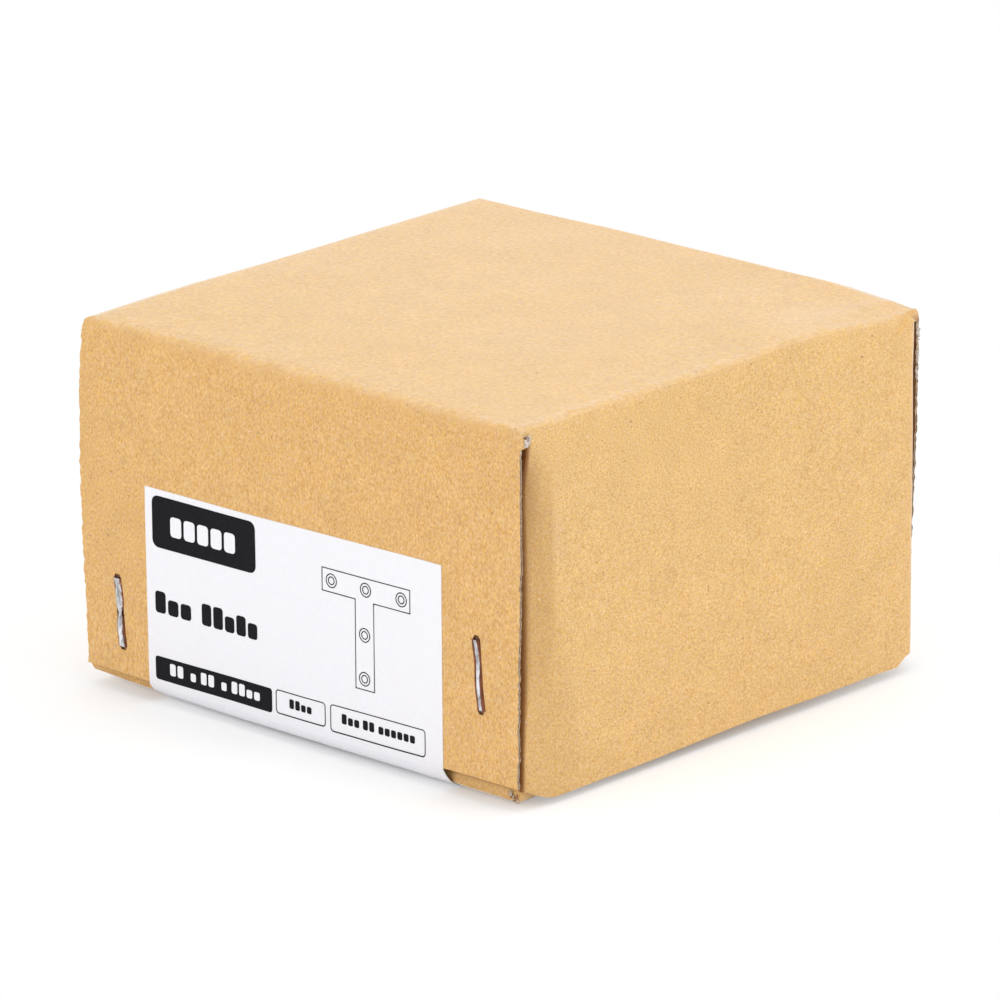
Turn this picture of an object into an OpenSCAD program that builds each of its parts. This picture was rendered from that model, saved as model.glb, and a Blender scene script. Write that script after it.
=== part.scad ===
// Telescoping carton of corrugated board: a stapled lid tray pulled down over a
// stapled base tray, and sealed by a paper label that runs from the lid's front
// over the seam and under the base. Millimetres, +Z up, front towards -Y, with
// the origin on the floor under the middle of the carton.

/* [Carton] */
// Width of the lid across its front, outside
lid_w = 92; // [88:1:140]
// Depth of the lid from front to back, outside
lid_d = 93; // [90:1:140]
// Height of the closed carton above the floor
carton_h = 60; // [52:1:100]
// Height of the lid's front and back edges above the floor
front_lift = 3.4; // [2:0.1:6]
// Height of the lid's side edges above the floor
side_lift = 1.4; // [0.5:0.1:4]
// Clearance between the base's upright edges and the lid's corner bends
corner_gap = 0.1; // [0.05:0.05:0.6]
// Clearance between the base's top edge and the fold of the lid
seat_gap = 0.1; // [0.05:0.05:0.5]

/* [Board] */
// Thickness of the corrugated board
board_t = 1.5; // [1.2:0.1:2]
// Inside radius of the folds round the top and bottom panels
fold_in = 1.5; // [0.8:0.1:3]
// Inside radius of the upright bends at the corners
bend_in = 2.5; // [1:0.1:4]
// Gap between a wall and the tab stapled behind it
leaf_gap = 0.2; // [0.1:0.05:0.4]
// Length of each corner tab past its bend
tab_l = 18; // [14:1:26]
// Cut-off corners at the free end of each tab
tab_chamfer = 3; // [1:0.5:6]
// Height of the slot above each corner bend
slot_h = 0.8; // [0.3:0.1:2]
// Height of the slanted cut at the free corners of the side walls
relief_h = 1; // [0.2:0.1:1.5]
// Length of the slanted cut at the free corners of the side walls
relief_l = 7; // [3:0.5:15]

/* [Flutes] */
// Pitch of the flutes inside the board
flute_pitch = 2.4; // [2:0.1:4]
// Width of the web between two neighbouring flute openings
flute_web = 0.6; // [0.4:0.1:1]
// Thickness of each flat liner of the board
liner_t = 0.25; // [0.2:0.05:0.35]
// Thickness of the wavy sheet between the liners
medium_t = 0.2; // [0.1:0.05:0.3]
// Depth to which the flute ends are open at a cut edge
flute_deep = 2; // [1:0.5:5]

/* [Staples] */
// Length of a staple's crown
crown_l = 12.4; // [10:0.1:16]
// Width of the flat staple wire
wire_w = 1.7; // [1:0.1:2.5]
// Thickness of the flat staple wire
wire_t = 0.6; // [0.4:0.05:0.8]
// Inside radius of the staple's bends
wire_bend = 0.3; // [0.1:0.05:0.5]
// Depth to which the wire is pressed into the board
wire_sink = 0.35; // [0.2:0.05:0.4]
// Length of each clinched end
tail_l = 4.5; // [3:0.1:5]
// Clearance of the wire in the board
wire_gap = 0.05; // [0.02:0.01:0.1]
// Distance of the lid's left staple from the lid's left edge
left_inset = 7.6; // [6.5:0.1:14]
// Height of the lid's left staple above the floor, at its middle
left_z = 13.2; // [12:0.1:30]
// Distance of the lid's right staple from the lid's right edge
right_inset = 8.8; // [6.5:0.1:14]
// Height of the lid's right staple above the floor, at its middle
right_z = 20; // [12:0.1:30]
// Distance of the base's staples from the base's side edges
base_inset = 8; // [6.5:0.1:14]
// Height of the base's staples above the floor, at their middle
base_z = 38; // [12:0.1:44]

/* [Label] */
// Width of the label
label_w = 62; // [30:1:64]
// Distance of the label's middle from the carton's middle
label_x = -1; // [-1.5:0.1:1.5]
// Height of the label's top edge above the floor
label_top = 35; // [15:0.5:48]
// Thickness of the label's paper
label_t = 0.12; // [0.08:0.01:0.3]
// Length of the label's end under the base
label_under = 14; // [5:1:40]

/* [Hidden] */
$fn = 64;

// Overshoot of a cut past the face that it opens
cut = 1;
// Overlap by which the stretches of one sheet of paper run into each other
lap = 0.02;
kraft = [0.90, 0.73, 0.49];
kraft_inside = [0.85, 0.68, 0.45];
wire_grey = [0.72, 0.71, 0.69];
paper_white = [0.96, 0.96, 0.98];

// Outside radii of the folds and of the corner bends
fold_r = fold_in + board_t;
bend_r = bend_in + board_t;
// What a staple passes through: a wall, the gap behind it and the tab
leaves_t = 2 * board_t + leaf_gap;
// Gap between the trays' walls at which the base's square edges clear the round bends
wall_gap = bend_in - (bend_in - corner_gap) / sqrt(2);
// How far the lid's fold curves down over the base's outer face
fold_reach = max(0, fold_in - wall_gap);
fold_rise = fold_in - sqrt(fold_in * fold_in - fold_reach * fold_reach);
// Outside of the base, which passes the lid's side walls and its corner tabs
base_w = lid_w - 2 * (board_t + wall_gap);
base_d = lid_d - 2 * (leaves_t + wall_gap);
base_h = carton_h - board_t - fold_rise - seat_gap;
// Round openings of the flutes in the board's cut edge
pocket_h = board_t - 2 * liner_t - medium_t;
pocket_chord = flute_pitch - flute_web;
pocket_r = (pocket_chord * pocket_chord / 4 + pocket_h * pocket_h) / (2 * pocket_h);

// Upright outline with its two upper corners rounded
module arch(span, z_low, z_top, r) {
    translate([-span / 2, z_low]) square([span, z_top - r - z_low]);
    translate([r - span / 2, z_low]) square([span - 2 * r, z_top - z_low]);
    for (side = [-1, 1]) translate([side * (span / 2 - r), z_top - r]) circle(r);
}

// Block whose four upper edges are rounded folds, mitred at the corners
module folded_block(w, d, z_low, z_top, r) {
    intersection() {
        rotate([90, 0, 0]) linear_extrude(d, center = true) arch(w, z_low, z_top, r);
        rotate([90, 0, 90]) linear_extrude(w, center = true) arch(d, z_low, z_top, r);
    }
}

// Repeats its children at the four upright corners, with the tray's inside
// towards -X and +Y of each corner's own frame
module each_corner(w, d) {
    for (flip_x = [0, 1], flip_y = [0, 1])
        mirror([flip_x, 0, 0]) mirror([0, flip_y, 0]) translate([w / 2, -d / 2, 0]) children();
}

// Side wall's vertical bend, and the tab that it carries behind the front wall
module corner_tab(low, tab_low, top) {
    slope = tab_low - low;
    translate([-bend_r, board_t + leaf_gap + bend_r, 0]) rotate([0, 0, -90])
        rotate_extrude(angle = 90) translate([bend_in, low]) square([board_t, top - low]);
    translate([-bend_r, leaves_t, 0]) rotate([90, 0, 0]) linear_extrude(board_t)
        polygon([
            [0, low], [0, top], [tab_chamfer - tab_l, top], [-tab_l, top - tab_chamfer],
            [-tab_l, tab_low + tab_chamfer], [tab_chamfer - tab_l, tab_low], [-slope, tab_low]
        ]);
}

// Slanted cut at the free corner of a side wall
module corner_relief(low) {
    start = board_t + leaf_gap + bend_r;
    translate([-board_t - cut, 0, 0]) rotate([90, 0, 90]) linear_extrude(board_t + 2 * cut)
        polygon([[start - cut, low - cut], [start + relief_l, low - cut], [start + relief_l, low],
                 [start, low + relief_h], [start - cut, low + relief_h]]);
}

// One flute opening, flat against the liner at the left
module flute_pocket() {
    intersection() {
        translate([pocket_h - pocket_r, 0]) circle(pocket_r);
        translate([0, -pocket_chord / 2]) square([pocket_h, pocket_chord]);
    }
}

// Open flute ends up the cut edge of a front or back wall
module flute_row(low, top) {
    count = floor((top - low) / flute_pitch);
    first = (low + top - count * flute_pitch) / 2;
    translate([-flute_deep, 0, 0]) rotate([90, 0, 90]) linear_extrude(flute_deep + cut)
        for (i = [0 : count - 1]) translate([0, first + i * flute_pitch]) {
            translate([liner_t, flute_pitch / 4]) flute_pocket();
            translate([board_t - liner_t, flute_pitch * 3 / 4]) mirror([1, 0]) flute_pocket();
        }
}

// Tray folded from one blank: a panel on top, front and back walls down to
// front_low, and side walls down to side_low with a tab at each end
module tray(w, d, h, front_low, side_low) {
    slot_top = h - fold_r;
    bend_low = side_low + relief_h;
    difference() {
        union() {
            difference() {
                folded_block(w, d, side_low, h, fold_r);
                folded_block(w - 2 * board_t, d - 2 * board_t, side_low - cut, h - board_t, fold_in);
                each_corner(w, d) {
                    translate([-board_t - cut, board_t, side_low - cut])
                        cube([board_t + 2 * cut, leaf_gap + bend_r, slot_top - side_low + cut]);
                    corner_relief(side_low);
                    translate([-w - cut, -cut, side_low - cut])
                        cube([w + 2 * cut, board_t + cut, front_low - side_low + cut]);
                }
            }
            each_corner(w, d) corner_tab(bend_low, max(bend_low, front_low), slot_top - slot_h);
        }
        each_corner(w, d) flute_row(front_low, slot_top);
    }
}

// Outline of a staple in a wall whose outer face is at the left, widened by gap
module staple_outline(gap) {
    left = wire_sink - wire_t;
    right = leaves_t - left;
    half = crown_l / 2;
    difference() {
        round_box(left - gap, right + gap, half + gap, wire_t + wire_bend + gap);
        round_box(left + wire_t + gap, right - wire_t - gap, half - wire_t - gap, wire_bend);
        translate([right - wire_t - cut, tail_l - half + gap])
            square([wire_t + 2 * cut, crown_l - 2 * tail_l - 2 * gap]);
    }
}

// Box from left to right that reaches as far below zero as above it, with round corners
module round_box(left, right, half, r) {
    translate([left, r - half]) square([right - left, 2 * (half - r)]);
    translate([left + r, -half]) square([right - left - 2 * r, 2 * half]);
    for (x = [left + r, right - r], z = [r - half, half - r]) translate([x, z]) circle(r);
}

// Staple that stands upright at x and z in a front wall whose outer face is at y
module staple(x, y, z, gap) {
    translate([x - wire_w / 2 - gap, y, z]) rotate([90, 0, 90])
        linear_extrude(wire_w + 2 * gap) staple_outline(gap);
}

// Two staples through the front wall and two through the back wall of the lid
module lid_wires(gap) {
    for (turn = [0, 180]) rotate([0, 0, turn]) {
        staple(left_inset - lid_w / 2, -lid_d / 2, left_z, gap);
        staple(lid_w / 2 - right_inset, -lid_d / 2, right_z, gap);
    }
}

// Two staples through the front wall and two through the back wall of the base
module base_wires(gap) {
    for (turn = [0, 180], side = [-1, 1]) rotate([0, 0, turn])
        staple(side * (base_w / 2 - base_inset), -base_d / 2, base_z, gap);
}

// Wedge from the origin that takes in the directions from one angle to another
module wedge(from, to, reach) {
    polygon([[0, 0], for (i = [0 : 2]) let (a = from + (to - from) * i / 2) reach * [cos(a), sin(a)]]);
}

// Label's section: down the lid's front, slanting over the seam to the base's
// lower fold, round the fold, and flush with the base's underside. Its thickness
// is measured outwards from the face that sticks to the board
module label_section(thick) {
    edge_y = -lid_d / 2;
    fold_y = fold_r - base_d / 2;
    inner_r = fold_r - label_t;
    span = norm([fold_y - edge_y, fold_r - front_lift]);
    lean = atan2(fold_r - front_lift, fold_y - edge_y) - asin(inner_r / span);
    slant_l = sqrt(span * span - inner_r * inner_r);
    translate([edge_y - thick, front_lift - lap]) square([thick, label_top - front_lift + lap]);
    translate([edge_y, front_lift]) {
        intersection() {
            circle(thick);
            wedge(-180, lean - 90, 2 * thick);
        }
        rotate(lean) translate([-lap, -thick]) square([slant_l + 2 * lap, thick]);
    }
    translate([fold_y, fold_r]) intersection() {
        difference() {
            circle(inner_r + thick);
            circle(inner_r);
        }
        wedge(lean - 90, -90, 2 * (inner_r + thick));
    }
    translate([fold_y - lap, label_t - thick]) square([label_under + lap, thick]);
}

module label_sheet(thick) {
    translate([label_x - label_w / 2, 0, 0]) rotate([90, 0, 90])
        linear_extrude(label_w) label_section(thick);
}

module lid_tray() {
    color(kraft) difference() {
        tray(lid_w, lid_d, carton_h, front_lift, side_lift);
        lid_wires(wire_gap);
    }
}

module base_tray() {
    color(kraft_inside) difference() {
        translate([0, 0, base_h]) mirror([0, 0, 1]) tray(base_w, base_d, base_h, 0, 0);
        base_wires(wire_gap);
        label_sheet(label_t + cut);
    }
}

module lid_staples() {
    color(wire_grey) lid_wires(0);
}

module base_staples() {
    color(wire_grey) base_wires(0);
}

module label() {
    color(paper_white) label_sheet(label_t);
}

lid_tray();
base_tray();
lid_staples();
base_staples();
label();
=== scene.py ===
import math
import bmesh
import bpy
from mathutils import Matrix, Vector, noise


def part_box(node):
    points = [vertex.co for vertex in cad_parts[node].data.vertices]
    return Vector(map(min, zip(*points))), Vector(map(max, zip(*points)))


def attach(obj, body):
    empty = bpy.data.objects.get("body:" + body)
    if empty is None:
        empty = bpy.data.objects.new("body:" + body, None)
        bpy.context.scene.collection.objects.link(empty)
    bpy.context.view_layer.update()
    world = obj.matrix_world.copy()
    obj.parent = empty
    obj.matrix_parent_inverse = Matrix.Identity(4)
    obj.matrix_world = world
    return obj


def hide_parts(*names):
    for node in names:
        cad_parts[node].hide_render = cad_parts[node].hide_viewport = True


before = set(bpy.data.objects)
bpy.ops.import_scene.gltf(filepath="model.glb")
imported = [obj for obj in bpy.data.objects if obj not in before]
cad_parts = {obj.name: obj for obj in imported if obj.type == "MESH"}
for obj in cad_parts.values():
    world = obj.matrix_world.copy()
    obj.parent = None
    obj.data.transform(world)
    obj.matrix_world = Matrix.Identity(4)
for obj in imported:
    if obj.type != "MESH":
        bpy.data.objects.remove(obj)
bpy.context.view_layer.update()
scene = bpy.context.scene
scene.view_settings.view_transform = "Standard"
mm = 0.001
noise.seed_set(47)    # the same unevenness on every run
tiny = 1e-6      # places closer than this are the same
slight = 1e-5    # the same, after a wall has its thickness

# corrugated board that both trays are folded from
board = {
    "thick": 1.5 * mm,
    "crush": 1.05 * mm,        # how much thinner the upright cut edges are pressed
    "leafGap": 0.6 * mm,       # between a wall and the tab behind it
    "tab": 18.0 * mm,
    "liner": 0.10 * mm,
    "medium": 0.08 * mm,       # wavy sheet between the liners
    "flutePitch": 2.4 * mm,
    "fluteDeep": 0.7 * mm,     # how far a cut edge is open between its liners
    "rough": 0.6 * mm,         # spacing of the points along a rough cut edge
    "grid": 2.4 * mm,          # spacing of the mesh over the panels
    "edgeBand": 0.8 * mm,      # strip along a cut edge that has the closer points
    "creaseRows": (3.7 * mm, 6.8 * mm, 7.5 * mm),   # more rows of points behind the front
    "foldSteps": 7,
    "bendSteps": 8,
    "bendShut": 9.0 * mm,      # height over which the bends close under the fold
    "reliefFade": 12.0 * mm,   # height over which a lifted corner fades out
    "crushLong": 4.0 * mm,     # how far from its cut edge a wall is pressed
    "wallReach": 1.6 * mm,     # points this near the outside belong to the front or back wall
}
lidLow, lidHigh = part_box("lid_tray")
baseLow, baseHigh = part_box("base_tray")
lid = {
    "wide": lidHigh.x - lidLow.x,
    "deep": lidHigh.y - lidLow.y,
    "high": lidHigh.z,
    "sideEdge": lidLow.z,
    "frontEdge": 3.4 * mm,
    "fold": 3.0 * mm,          # outside radius round the panel
    "bendFront": 1.0 * mm,     # outside radius of the upright corner bends
    "bendBack": 2.4 * mm,
    "reliefFront": {"high": 1.5 * mm, "long": 3.4 * mm},   # slanted cut at the side walls' free corners
    "reliefBack": {"high": 1.5 * mm, "long": 2.4 * mm},
}
base = {
    "wide": baseHigh.x - baseLow.x,
    "deep": baseHigh.y - baseLow.y,
    "high": baseHigh.z,
    "sideEdge": 0.0,
    "frontEdge": 0.0,
    "fold": 3.0 * mm,
    "bendFront": 4.0 * mm,
    "bendBack": 4.0 * mm,
    "reliefFront": {"high": 1.0 * mm, "long": 7.0 * mm},
    "reliefBack": {"high": 1.0 * mm, "long": 7.0 * mm},
    "seamRow": 3.6 * mm,       # height of a row of points just above the lid's front edge
}


# selecting and shaping

def deselect():
    bpy.ops.object.select_all(action="DESELECT")


def selectAll():
    bpy.ops.mesh.select_all(action="SELECT")


def applyPlace():
    bpy.ops.object.transform_apply(location=True, rotation=True, scale=True)


def activate(piece):
    deselect()
    bpy.context.view_layer.objects.active = piece
    piece.select_set(True)


def startEdit(piece):
    activate(piece)
    bpy.ops.object.mode_set(mode="EDIT")
    bpy.ops.mesh.select_all(action="DESELECT")


def endEdit():
    bpy.ops.object.mode_set(mode="OBJECT")


def push(x, y, z):
    # extrudes what is selected and moves it
    bpy.ops.mesh.extrude_region_move(TRANSFORM_OT_translate={"value": (x, y, z)})


def mergeAll(distance):
    selectAll()
    bpy.ops.mesh.remove_doubles(threshold=distance)
    bpy.ops.mesh.normals_make_consistent(inside=False)


def pick(kind, test):
    # selects the faces, edges or points of the piece in edit mode that pass a test of their place
    bpy.ops.mesh.select_mode(type=kind)
    bpy.ops.mesh.select_all(action="DESELECT")
    cage = bmesh.from_edit_mesh(bpy.context.active_object.data)
    items = {"FACE": cage.faces, "EDGE": cage.edges, "VERT": cage.verts}[kind]
    for item in items:
        if test(item):
            item.select_set(True)
    bmesh.update_edit_mesh(bpy.context.active_object.data)


def middle(edge):
    return (edge.verts[0].co + edge.verts[1].co) / 2


def sliceAlong(axis, places):
    normal = [0.0, 0.0, 0.0]
    normal[axis] = 1.0
    for place in places:
        selectAll()
        bpy.ops.mesh.bisect(plane_co=[n * place for n in normal], plane_no=normal)


def evenPlaces(low, high, step):
    count = max(1, round((high - low) / step))
    return [low + (high - low) * i / count for i in range(1, count)]


def addBlock(name, low, high):
    deselect()
    bpy.ops.mesh.primitive_cube_add(size=1, location=[(a + b) / 2 for a, b in zip(low, high)])
    piece = bpy.context.active_object
    piece.name = name
    bpy.ops.transform.resize(value=[b - a for a, b in zip(low, high)])
    applyPlace()
    return piece


def addUprightSheet(name, xLow, xHigh, y, zLow, zHigh):
    deselect()
    bpy.ops.mesh.primitive_plane_add(size=1, rotation=(math.pi / 2, 0, 0),
                                     location=((xLow + xHigh) / 2, y, (zLow + zHigh) / 2))
    piece = bpy.context.active_object
    piece.name = name
    bpy.ops.transform.resize(value=(xHigh - xLow, 1, zHigh - zLow))
    applyPlace()
    return piece


def giveThickness(piece, thick, offset, rimSlot=0):
    made = piece.modifiers.new("thickness", "SOLIDIFY")
    made.thickness = thick
    made.offset = offset
    made.use_even_offset = True
    made.material_offset_rim = rimSlot
    bpy.context.view_layer.objects.active = piece
    bpy.ops.object.modifier_apply(modifier=made.name)


def smooth(piece, degrees):
    activate(piece)
    bpy.ops.object.shade_smooth_by_angle(angle=math.radians(degrees))


def joinPieces(name, pieces):
    deselect()
    for piece in pieces:
        piece.select_set(True)
    bpy.context.view_layer.objects.active = pieces[0]
    bpy.ops.object.join()
    pieces[0].name = name
    return pieces[0]


def ramp(value, low, high):
    # 0 below low, 1 above high, smooth in between
    share = min(1.0, max(0.0, (value - low) / (high - low)))
    return share * share * (3 - 2 * share)


def warp(piece, move):
    for point in piece.data.vertices:
        point.co += move(point.co)
    piece.data.update()


# materials

def addNode(tree, kind, **settings):
    made = tree.nodes.new(kind)
    for key, value in settings.items():
        setattr(made, key, value)
    return made


def newMaterial(name, roughness, metallic=0.0, specular=0.5):
    material = bpy.data.materials.new(name)
    material.use_nodes = True
    tree = material.node_tree
    shader = tree.nodes["Principled BSDF"]
    shader.inputs["Roughness"].default_value = roughness
    shader.inputs["Metallic"].default_value = metallic
    shader.inputs["Specular IOR Level"].default_value = specular
    return material, tree, shader


def addRamp(tree, source, stops):
    made = tree.nodes.new("ShaderNodeValToRGB")
    while len(made.color_ramp.elements) < len(stops):
        made.color_ramp.elements.new(0.5)
    for element, (place, colour) in zip(made.color_ramp.elements, stops):
        element.position = place
        element.color = (*colour, 1)
    tree.links.new(source, made.inputs["Fac"])
    return made.outputs["Color"]


def addRange(tree, source, fromLow, fromHigh, toLow, toHigh):
    made = addNode(tree, "ShaderNodeMapRange")
    limits = {"From Min": fromLow, "From Max": fromHigh, "To Min": toLow, "To Max": toHigh}
    for key, value in limits.items():
        made.inputs[key].default_value = value
    tree.links.new(source, made.inputs["Value"])
    return made.outputs["Result"]


def mixColour(tree, blend, factor, first, second):
    made = addNode(tree, "ShaderNodeMix", data_type="RGBA", blend_type=blend)
    if isinstance(factor, float):
        made.inputs[0].default_value = factor
    else:
        tree.links.new(factor, made.inputs[0])
    for socket, value in ((made.inputs[6], first), (made.inputs[7], second)):
        if isinstance(value, tuple):
            socket.default_value = (*value, 1)
        else:
            tree.links.new(value, socket)
    return made.outputs[2]


def mixValue(tree, factor, first, second):
    made = addNode(tree, "ShaderNodeMix", data_type="FLOAT")
    for socket, value in zip((made.inputs[0], made.inputs[2], made.inputs[3]), (factor, first, second)):
        tree.links.new(value, socket)
    return made.outputs[0]


def mathNode(tree, operation, first, second):
    made = addNode(tree, "ShaderNodeMath", operation=operation)
    for socket, value in zip(made.inputs, (first, second)):
        if isinstance(value, (int, float)):
            socket.default_value = value
        else:
            tree.links.new(value, socket)
    return made.outputs["Value"]


def objectPlaces(tree, scale=(1, 1, 1), shift=(0, 0, 0)):
    coords = addNode(tree, "ShaderNodeTexCoord")
    mapping = addNode(tree, "ShaderNodeMapping")
    mapping.inputs["Scale"].default_value = scale
    mapping.inputs["Location"].default_value = shift
    tree.links.new(coords.outputs["Object"], mapping.inputs["Vector"])
    return mapping.outputs["Vector"]


def addNoise(tree, places, scale, detail, roughness):
    made = addNode(tree, "ShaderNodeTexNoise")
    made.inputs["Scale"].default_value = scale
    made.inputs["Detail"].default_value = detail
    made.inputs["Roughness"].default_value = roughness
    tree.links.new(places, made.inputs["Vector"])
    return made.outputs["Fac"]


def linkBump(tree, shader, height, strength, distance):
    bump = addNode(tree, "ShaderNodeBump")
    bump.inputs["Strength"].default_value = strength
    bump.inputs["Distance"].default_value = distance
    tree.links.new(height, bump.inputs["Height"])
    tree.links.new(bump.outputs["Normal"], shader.inputs["Normal"])


kraft = {
    "dark": (0.545, 0.270, 0.075),
    "light": (0.784, 0.524, 0.227),
    "warm": (1.04, 1.0, 0.68),         # fine mottling of the colour
    "cool": (0.96, 1.0, 1.32),
    "speck": (0.20, 0.10, 0.045),
    "greyFibre": (0.36, 0.29, 0.24),
    "fleck": (0.88, 0.78, 0.64),
    "paintedShade": (0.34, 0.22, 0.12),      # painted shade deep in the corner creases
    "paintedSideSheen": (1.0, 1.056, 1.128),   # painted sheen: the sides and panels are a little paler than the front
    "foldWearAndHighlight": (1.02, 1.08, 1.32),    # rubbed folds are paler in patches, partly wear and partly painted highlight
    "roughness": 0.6,
    "specular": 0.25,
    "sheen": 1.0,
    "sheenRoughness": 0.3,
    # noise scales, per metre
    "frontGrain": (3500, 3500, 2000),
    "sideGrain": (2900, 2900, 3400),
    "panelGrain": 1400,
    "cloud": 190,
    "mottle": (2700, 2700, 2700),
    "panelMottle": 1000,
    "wearAndHighlightPatches": 420,
    # noise scales along x, y and z, shift, noise where a speck starts and is full, strength, colour
    "specks": [
        ((1250, 1250, 1250), (3, 1, 7), 0.69, 0.76, 0.65, "speck"),
        ((1700, 800, 1300), (9, 4, 2), 0.71, 0.78, 0.5, "greyFibre"),
        ((700, 1700, 1700), (5, 8, 1), 0.71, 0.78, 0.5, "speck"),
        ((1500, 1500, 1500), (1, 6, 5), 0.71, 0.78, 0.6, "fleck"),
    ],
}


def makeKraft(name):
    material, tree, shader = newMaterial(name, kraft["roughness"], specular=kraft["specular"])
    shader.inputs["Sheen Weight"].default_value = kraft["sheen"]
    shader.inputs["Sheen Roughness"].default_value = kraft["sheenRoughness"]
    places = objectPlaces(tree)
    # grain drawn out upright on the front and back, even on the sides, coarser on the panels
    facing = addNode(tree, "ShaderNodeTexCoord")
    apart = addNode(tree, "ShaderNodeSeparateXYZ")
    tree.links.new(facing.outputs["Normal"], apart.inputs["Vector"])
    toFront = mathNode(tree, "ABSOLUTE", apart.outputs["Y"], 0)
    toPanel = mathNode(tree, "ABSOLUTE", apart.outputs["Z"], 0)
    frontGrain = addNoise(tree, objectPlaces(tree, kraft["frontGrain"], (3, 1, 0)), 1, 3, 0.7)
    sideGrain = addNoise(tree, objectPlaces(tree, kraft["sideGrain"]), 1, 2, 0.7)
    sideGrain = addRange(tree, sideGrain, 0, 1, 0.06, 0.94)
    panelGrain = addNoise(tree, places, kraft["panelGrain"], 2, 0.7)
    grain = mixValue(tree, toFront, sideGrain, frontGrain)
    grain = mixValue(tree, toPanel, grain, addRange(tree, panelGrain, 0, 1, 0.27, 0.73))
    colour = addRamp(tree, grain, [(0.30, kraft["dark"]), (0.70, kraft["light"])])
    # broad clouds of darker and paler tone, then the painted sheen that makes the sides and panels paler,
    # and the fine mottling
    cloud = addNoise(tree, places, kraft["cloud"], 4, 0.6)
    shade = addRange(tree, cloud, 0.3, 0.7, 0.955, 1.045)
    shadeColour = addNode(tree, "ShaderNodeCombineColor")
    for channel in ("Red", "Green", "Blue"):
        tree.links.new(shade, shadeColour.inputs[channel])
    colour = mixColour(tree, "MULTIPLY", 1.0, colour, shadeColour.outputs["Color"])
    aside = mathNode(tree, "SUBTRACT", 1.0, toFront)
    colour = mixColour(tree, "MULTIPLY", aside, colour, kraft["paintedSideSheen"])
    mottle = addNoise(tree, objectPlaces(tree, kraft["mottle"], (8, 2, 5)), 1, 2, 0.7)
    mottle = mixValue(tree, toPanel, mottle, addNoise(tree, places, kraft["panelMottle"], 3, 0.7))
    mottle = addRamp(tree, mottle, [(0.3, kraft["warm"]), (0.7, kraft["cool"])])
    mottled = addRange(tree, toPanel, 0, 1, 1, 0.85)
    colour = mixColour(tree, "MULTIPLY", mottled, colour, mottle)
    # painted shade in the creases, and folds rubbed paler with a painted highlight
    paintedShade = addNode(tree, "ShaderNodeAttribute", attribute_name="paintedShade")
    colour = mixColour(tree, "MULTIPLY", paintedShade.outputs["Fac"], colour, kraft["paintedShade"])
    wearAndHighlight = addNode(tree, "ShaderNodeAttribute", attribute_name="wearAndHighlight")
    patches = addNoise(tree, places, kraft["wearAndHighlightPatches"], 4, 0.7)
    patches = addRange(tree, patches, 0.4, 0.6, 0.4, 1)
    wearAndHighlight = mathNode(tree, "MULTIPLY", wearAndHighlight.outputs["Fac"], patches)
    colour = mixColour(tree, "MULTIPLY", wearAndHighlight, colour, kraft["foldWearAndHighlight"])
    # irregular specks and short fibres
    for scale, shift, low, high, strength, tone in kraft["specks"]:
        spots = addNoise(tree, objectPlaces(tree, scale, shift), 1, 2, 0.6)
        spots = addRange(tree, spots, low, high, 0, strength)
        colour = mixColour(tree, "MIX", spots, colour, kraft[tone])
    tree.links.new(colour, shader.inputs["Base Color"])
    linkBump(tree, shader, grain, 0.2, 0.08 * mm)
    return material


wireFinish = {
    "bare": [(0.36, (0.22, 0.20, 0.19)), (0.47, (0.55, 0.55, 0.56)), (0.6, (0.86, 0.87, 0.90))],
    # reddish brown of the sides: rust stain, and a painted reflection of the brown board beside them
    "darkBrown": [(0.35, (0.09, 0.026, 0.015)), (0.65, (0.27, 0.09, 0.045))],
    "scuffs": (2600, 2600, 500),       # noise scales, per metre
    "dents": 1300,
    "border": (900, 900, 420),
    "roughness": (0.42, 0.2),          # where it is scuffed and where it is bright
    "rustAndReflectionFrom": (0.46, 0.62),         # shares of the half width
    "wander": 0.35,
}


def makeWire(name):
    material, tree, shader = newMaterial(name, wireFinish["roughness"][0], metallic=1.0)
    scuffs = addNoise(tree, objectPlaces(tree, wireFinish["scuffs"]), 1, 5, 0.7)
    colour = addRamp(tree, scuffs, wireFinish["bare"])
    tree.links.new(addRange(tree, scuffs, 0.3, 0.7, *wireFinish["roughness"]), shader.inputs["Roughness"])
    dents = addNoise(tree, objectPlaces(tree), wireFinish["dents"], 4, 0.6)
    linkBump(tree, shader, dents, 0.35, 0.15 * mm)
    # the wire's sides are reddish brown with an uneven border: rust stain, and a painted reflection of the
    # brown board beside them
    across = addNode(tree, "ShaderNodeAttribute", attribute_name="across")
    border = addNoise(tree, objectPlaces(tree, wireFinish["border"], (2, 5, 1)), 1, 3, 0.6)
    border = addRange(tree, border, 0.2, 0.8, -wireFinish["wander"], wireFinish["wander"])
    aside = mathNode(tree, "ABSOLUTE", mathNode(tree, "ADD", across.outputs["Fac"], border), 0)
    rustAndReflection = addRange(tree, aside, *wireFinish["rustAndReflectionFrom"], 0, 1)
    colour = mixColour(tree, "MIX", rustAndReflection, colour, addRamp(tree, scuffs, wireFinish["darkBrown"]))
    tree.links.new(colour, shader.inputs["Base Color"])
    tree.links.new(addRange(tree, rustAndReflection, 0, 1, 1, 0), shader.inputs["Metallic"])
    tree.links.new(addRange(tree, rustAndReflection, 0, 1, 0.5, 0.15), shader.inputs["Specular IOR Level"])
    return material


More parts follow.
